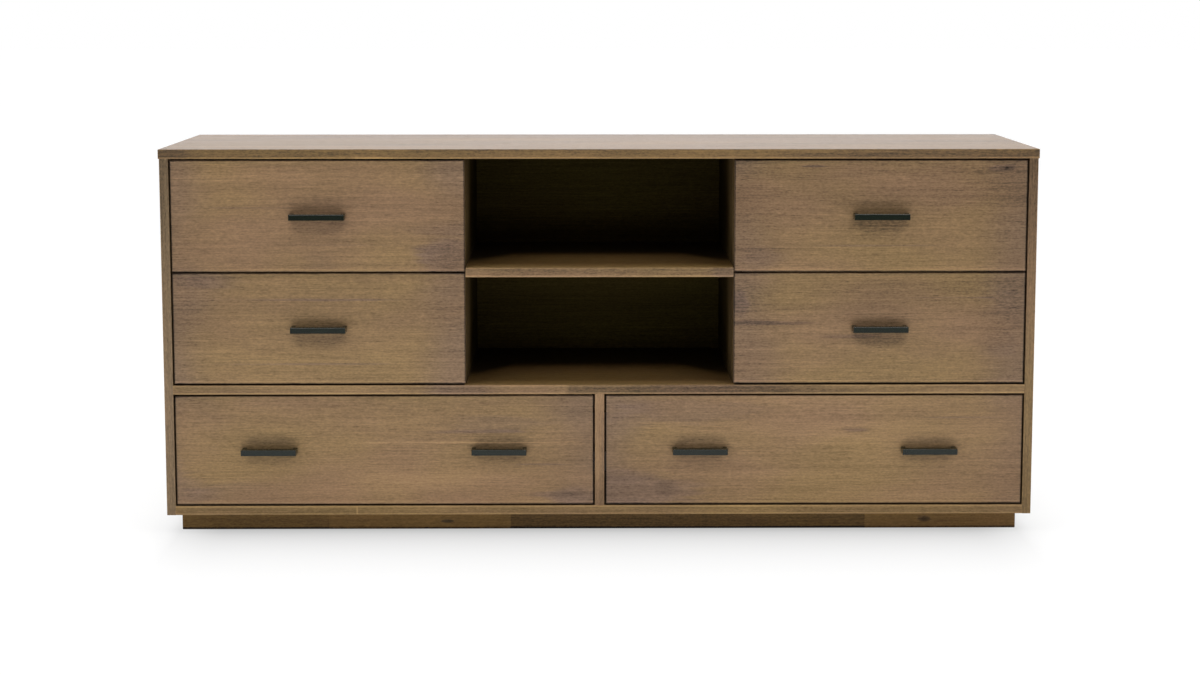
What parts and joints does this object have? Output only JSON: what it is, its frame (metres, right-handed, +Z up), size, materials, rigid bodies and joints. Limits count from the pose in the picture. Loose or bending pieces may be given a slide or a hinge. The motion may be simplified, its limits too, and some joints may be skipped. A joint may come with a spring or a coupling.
{
  "type": "chest of drawers",
  "caption": "Wide low wooden chest of drawers on a recessed plinth, with small and wide drawers on telescopic slides, black bar pulls and an open centre niche with a shelf.",
  "frame": {"origin": "on the floor, under the middle of the whole chest with its pulls", "axes": "+X to the right as seen from the front, the front faces -Y, +Z up"},
  "size_m": [1.829, 0.4836, 0.812],
  "materials": {
    "case_wood": "satin oiled",
    "front_wood": "satin oiled",
    "plinth_wood": "satin oiled",
    "box_wood": "clear lacquer",
    "plywood": "clear lacquer",
    "spline_wood": "raw",
    "slide_steel": "zinc plated",
    "pull_metal": "matt black"
  },
  "bodies": {
    "case": {"back_panel": "plywood", "bottom_panel": "case_wood", "case_splines": "spline_wood", "left_partition": "case_wood", "left_side_panel": "case_wood", "lower_divider": "case_wood", "middle_deck": "case_wood", "niche_shelf": "case_wood", "plinth_corner_blocks": "plinth_wood", "plinth_cross_rail": "plinth_wood", "plinth_front": "plinth_wood", "plinth_left": "plinth_wood", "plinth_rear": "plinth_wood", "plinth_right": "plinth_wood", "right_partition": "case_wood", "right_side_panel": "case_wood", "slide_cabinet_members": "slide_steel", "top_panel": "case_wood"},
    "upper_left_drawer": {"upper_left_drawer_bottom": "plywood", "upper_left_drawer_box_ends": "box_wood", "upper_left_drawer_box_sides": "box_wood", "upper_left_drawer_front": "front_wood", "upper_left_drawer_pull": "pull_metal", "upper_left_drawer_slide_inner": "slide_steel"},
    "upper_left_slide_middle": {"upper_left_drawer_slide_middle": "slide_steel"},
    "upper_right_drawer": {"upper_right_drawer_bottom": "plywood", "upper_right_drawer_box_ends": "box_wood", "upper_right_drawer_box_sides": "box_wood", "upper_right_drawer_front": "front_wood", "upper_right_drawer_pull": "pull_metal", "upper_right_drawer_slide_inner": "slide_steel"},
    "upper_right_slide_middle": {"upper_right_drawer_slide_middle": "slide_steel"},
    "middle_left_drawer": {"middle_left_drawer_bottom": "plywood", "middle_left_drawer_box_ends": "box_wood", "middle_left_drawer_box_sides": "box_wood", "middle_left_drawer_front": "front_wood", "middle_left_drawer_pull": "pull_metal", "middle_left_drawer_slide_inner": "slide_steel"},
    "middle_left_slide_middle": {"middle_left_drawer_slide_middle": "slide_steel"},
    "middle_right_drawer": {"middle_right_drawer_bottom": "plywood", "middle_right_drawer_box_ends": "box_wood", "middle_right_drawer_box_sides": "box_wood", "middle_right_drawer_front": "front_wood", "middle_right_drawer_pull": "pull_metal", "middle_right_drawer_slide_inner": "slide_steel"},
    "middle_right_slide_middle": {"middle_right_drawer_slide_middle": "slide_steel"},
    "lower_left_drawer": {"lower_left_drawer_bottom": "plywood", "lower_left_drawer_box_ends": "box_wood", "lower_left_drawer_box_sides": "box_wood", "lower_left_drawer_front": "front_wood", "lower_left_drawer_pulls": "pull_metal", "lower_left_drawer_slide_inner": "slide_steel"},
    "lower_left_slide_middle": {"lower_left_drawer_slide_middle": "slide_steel"},
    "lower_right_drawer": {"lower_right_drawer_bottom": "plywood", "lower_right_drawer_box_ends": "box_wood", "lower_right_drawer_box_sides": "box_wood", "lower_right_drawer_front": "front_wood", "lower_right_drawer_pulls": "pull_metal", "lower_right_drawer_slide_inner": "slide_steel"},
    "lower_right_slide_middle": {"lower_right_drawer_slide_middle": "slide_steel"}
  },
  "joints": [
    {"name": "upper_left_drawer_slide", "type": "slide", "parent": "case", "child": "upper_left_drawer", "axis": [0, -1, 0], "range_m": [0, 0.4]},
    {"name": "upper_left_slide_middle_extension", "type": "slide", "parent": "case", "child": "upper_left_slide_middle", "axis": [0, -1, 0], "range_m": [0, 0.2]},
    {"name": "upper_right_drawer_slide", "type": "slide", "parent": "case", "child": "upper_right_drawer", "axis": [0, -1, 0], "range_m": [0, 0.4]},
    {"name": "upper_right_slide_middle_extension", "type": "slide", "parent": "case", "child": "upper_right_slide_middle", "axis": [0, -1, 0], "range_m": [0, 0.2]},
    {"name": "middle_left_drawer_slide", "type": "slide", "parent": "case", "child": "middle_left_drawer", "axis": [0, -1, 0], "range_m": [0, 0.4]},
    {"name": "middle_left_slide_middle_extension", "type": "slide", "parent": "case", "child": "middle_left_slide_middle", "axis": [0, -1, 0], "range_m": [0, 0.2]},
    {"name": "middle_right_drawer_slide", "type": "slide", "parent": "case", "child": "middle_right_drawer", "axis": [0, -1, 0], "range_m": [0, 0.4]},
    {"name": "middle_right_slide_middle_extension", "type": "slide", "parent": "case", "child": "middle_right_slide_middle", "axis": [0, -1, 0], "range_m": [0, 0.2]},
    {"name": "lower_left_drawer_slide", "type": "slide", "parent": "case", "child": "lower_left_drawer", "axis": [0, -1, 0], "range_m": [0, 0.4]},
    {"name": "lower_left_slide_middle_extension", "type": "slide", "parent": "case", "child": "lower_left_slide_middle", "axis": [0, -1, 0], "range_m": [0, 0.2]},
    {"name": "lower_right_drawer_slide", "type": "slide", "parent": "case", "child": "lower_right_drawer", "axis": [0, -1, 0], "range_m": [0, 0.4]},
    {"name": "lower_right_slide_middle_extension", "type": "slide", "parent": "case", "child": "lower_right_slide_middle", "axis": [0, -1, 0], "range_m": [0, 0.2]}
  ],
  "couplings": [
    {"joint": "upper_left_slide_middle_extension", "follows": "upper_left_drawer_slide", "ratio": 0.5},
    {"joint": "upper_right_slide_middle_extension", "follows": "upper_right_drawer_slide", "ratio": 0.5},
    {"joint": "middle_left_slide_middle_extension", "follows": "middle_left_drawer_slide", "ratio": 0.5},
    {"joint": "middle_right_slide_middle_extension", "follows": "middle_right_drawer_slide", "ratio": 0.5},
    {"joint": "lower_left_slide_middle_extension", "follows": "lower_left_drawer_slide", "ratio": 0.5},
    {"joint": "lower_right_slide_middle_extension", "follows": "lower_right_drawer_slide", "ratio": 0.5}
  ]
}
